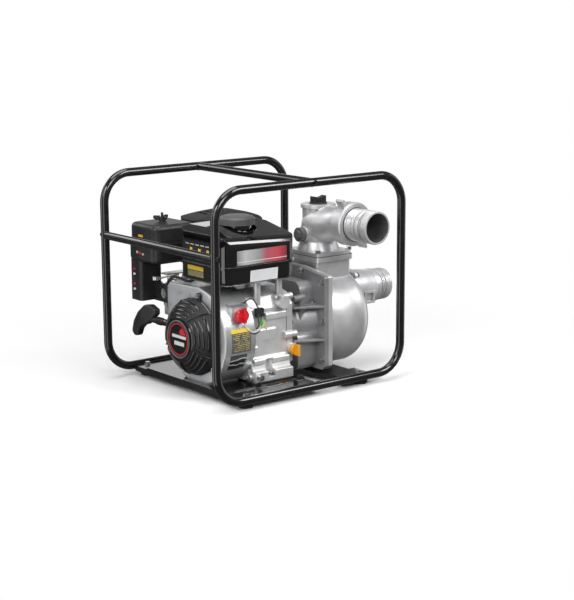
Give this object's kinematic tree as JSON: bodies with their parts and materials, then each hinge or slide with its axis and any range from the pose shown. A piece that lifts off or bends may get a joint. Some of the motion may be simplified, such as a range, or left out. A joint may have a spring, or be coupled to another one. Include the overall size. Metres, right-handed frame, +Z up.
{
  "type": "gas engine trash pump",
  "caption": "Gas engine trash pump: an air-cooled engine close-coupled to a cast pump with hose tails, carried in a tube roll frame on rubber feet.",
  "frame": {"origin": "on the floor (bottom of the rubber feet), at the bottom centre of the whole machine's bounding box", "axes": "+X along the crankshaft from the recoil starter towards the pump suction, +Y away from the discharge side towards the cylinder head, +Z up"},
  "size_m": [0.665, 0.474, 0.5],
  "materials": {
    "frame_black": "gloss black paint",
    "zinc": "bright zinc plate",
    "rubber_black": "matt rubber",
    "cast_bright": "die-cast, satin",
    "cast_pump": "sand-cast, satin",
    "shroud_silver": "silver paint, satin",
    "recoil_black": "gloss black paint",
    "tank_black": "high gloss black paint",
    "plastic_black": "satin moulded plastic",
    "plastic_grey": "satin moulded plastic",
    "heat_black": "matt heat paint",
    "muffler_steel": "heat-tinted steel",
    "steel_machined": "machined",
    "cast_iron_grey": "as cast",
    "red_plastic": "gloss red plastic",
    "yellow_plastic": "gloss amber plastic",
    "filter_foam": "pleated paper",
    "rope_cord": "braided cord",
    "seal_ceramic": "lapped ceramic and rubber",
    "gasket_dark": "sheet gasket",
    "wire_black": "insulated wire"
  },
  "bodies": {
    "engine_pump_and_frame": {"air_cleaner_base": "plastic_black", "carburettor": "cast_bright", "control_bracket": "zinc", "crank_bearings": "steel_machined", "crankcase": "cast_bright", "crankcase_cover": "cast_bright", "cylinder_head": "cast_bright", "discharge_coupling": "cast_pump", "discharge_elbow": "cast_pump", "engine_base_plate": "frame_black", "engine_bolts": "zinc", "engine_switch_body": "plastic_black", "fan_housing": "shroud_silver", "frame_bolts": "zinc", "fuel_hose": "rubber_black", "fuel_tank": "tank_black", "gaskets": "gasket_dark", "muffler": "muffler_steel", "muffler_guard": "heat_black", "pump_adapter": "cast_pump", "pump_base_plate": "frame_black", "pump_bolts": "zinc", "pump_casing": "cast_pump", "recoil_cover": "recoil_black", "rubber_mounts": "rubber_black", "side_crossbar": "frame_black", "side_frame_far": "frame_black", "side_frame_near": "frame_black", "spark_plug": "zinc", "spark_plug_cap": "rubber_black", "suction_coupling": "cast_pump", "suction_flange": "cast_pump", "top_crossbar": "frame_black", "valve_cover": "shroud_silver", "volute": "cast_iron_grey", "wiring": "wire_black", "air_filter_element": "filter_foam"},
    "crank": {"crankshaft": "steel_machined", "flywheel": "cast_iron_grey", "impeller": "cast_iron_grey", "mechanical_seal": "seal_ceramic"},
    "starter_reel": {"recoil_reel": "plastic_black", "rope_coil": "rope_cord"},
    "pull_handle": {"pull_handle": "plastic_black", "starter_rope": "rope_cord"},
    "piston": {"piston": "cast_bright"},
    "connecting_rod": {"connecting_rod": "cast_bright"},
    "throttle_lever": {"throttle_lever": "zinc"},
    "choke_lever": {"choke_lever": "zinc"},
    "fuel_valve_lever": {"fuel_valve_lever": "plastic_black"},
    "engine_switch_knob": {"engine_switch_knob": "red_plastic"},
    "fuel_cap": {"fuel_cap": "plastic_grey"},
    "oil_dipstick": {"oil_dipstick": "yellow_plastic"},
    "air_cleaner_cover": {"air_cleaner_cover": "plastic_black"},
    "air_cleaner_wing_nut": {"air_cleaner_wing_nut": "plastic_black"},
    "priming_cap": {"priming_cap": "plastic_black"},
    "side_plug": {"side_plug": "plastic_black"},
    "drain_plug": {"drain_plug": "plastic_black"},
    "discharge_ring_nut": {"discharge_ring_nut": "cast_pump"},
    "check_valve_flap": {"check_valve_flap": "rubber_black"}
  },
  "joints": [
    {"name": "crank_spin", "type": "hinge", "parent": "engine_pump_and_frame", "child": "crank", "pos_m": [-0.0525, -0.025, 0.134], "axis": [1, 0, 0], "continuous": true, "deforming": ["connecting_rod"]},
    {"name": "piston_stroke", "type": "slide", "parent": "engine_pump_and_frame", "child": "piston", "axis": [0, 0.9063, 0.4226], "range_m": [-0.054, 0]},
    {"name": "connecting_rod_swing", "type": "hinge", "parent": "piston", "child": "connecting_rod", "pos_m": [-0.1065, 0.0901, 0.18767], "axis": [1, 0, 0], "range_deg": [-15.6, 15.6]},
    {"name": "starter_pull", "type": "slide", "parent": "engine_pump_and_frame", "child": "pull_handle", "axis": [0, 1, 0], "range_m": [0, 0.5]},
    {"name": "starter_reel_spin", "type": "hinge", "parent": "engine_pump_and_frame", "child": "starter_reel", "pos_m": [-0.2585, -0.025, 0.134], "axis": [1, 0, 0], "range_deg": [-528.59, 1]},
    {"name": "throttle_turn", "type": "hinge", "parent": "engine_pump_and_frame", "child": "throttle_lever", "pos_m": [-0.1825, 0.133, 0.247], "axis": [0, 0, 1], "range_deg": [-22, 0]},
    {"name": "choke_turn", "type": "hinge", "parent": "engine_pump_and_frame", "child": "choke_lever", "pos_m": [-0.2025, 0.133, 0.24], "axis": [0, 0, 1], "range_deg": [0, 60]},
    {"name": "fuel_valve_turn", "type": "hinge", "parent": "engine_pump_and_frame", "child": "fuel_valve_lever", "pos_m": [-0.1925, 0.101, 0.184], "axis": [0, 1, 0], "range_deg": [0, 60]},
    {"name": "engine_switch_turn", "type": "hinge", "parent": "engine_pump_and_frame", "child": "engine_switch_knob", "pos_m": [-0.1935, -0.138, 0.194], "axis": [0, 1, 0], "range_deg": [0, 60]},
    {"name": "fuel_cap_turn", "type": "hinge", "parent": "engine_pump_and_frame", "child": "fuel_cap", "pos_m": [-0.1365, -0.047, 0.395], "axis": [0, 0, 1], "range_deg": [0, 90]},
    {"name": "dipstick_turn", "type": "hinge", "parent": "engine_pump_and_frame", "child": "oil_dipstick", "pos_m": [-0.0325, -0.125, 0.09], "axis": [0, 1, 0], "range_deg": [0, 720]},
    {"name": "air_cleaner_cover_lift", "type": "slide", "parent": "engine_pump_and_frame", "child": "air_cleaner_cover", "axis": [0, 0, 1], "range_m": [0, 0.09]},
    {"name": "wing_nut_turn", "type": "hinge", "parent": "air_cleaner_cover", "child": "air_cleaner_wing_nut", "pos_m": [-0.2065, 0.154, 0.381], "axis": [0, 0, 1], "continuous": true},
    {"name": "priming_cap_turn", "type": "hinge", "parent": "engine_pump_and_frame", "child": "priming_cap", "pos_m": [0.1235, -0.025, 0.4], "axis": [0, 0, 1], "range_deg": [0, 120]},
    {"name": "side_plug_turn", "type": "hinge", "parent": "engine_pump_and_frame", "child": "side_plug", "pos_m": [0.0675, -0.025, 0.338], "axis": [1, 0, 0], "range_deg": [0, 720]},
    {"name": "drain_plug_turn", "type": "hinge", "parent": "engine_pump_and_frame", "child": "drain_plug", "pos_m": [0.2035, -0.025, 0.062], "axis": [1, 0, 0], "range_deg": [0, 720]},
    {"name": "discharge_nut_turn", "type": "hinge", "parent": "engine_pump_and_frame", "child": "discharge_ring_nut", "pos_m": [0.1235, -0.147, 0.372], "axis": [0, 1, 0], "continuous": true},
    {"name": "check_valve_swing", "type": "hinge", "parent": "engine_pump_and_frame", "child": "check_valve_flap", "pos_m": [0.183, -0.025, 0.23], "axis": [0, 1, 0], "range_deg": [0, 40]}
  ],
  "couplings": [
    {"joint": "starter_reel_spin", "follows": "starter_pull", "rad_per_m": -18.416}
  ]
}
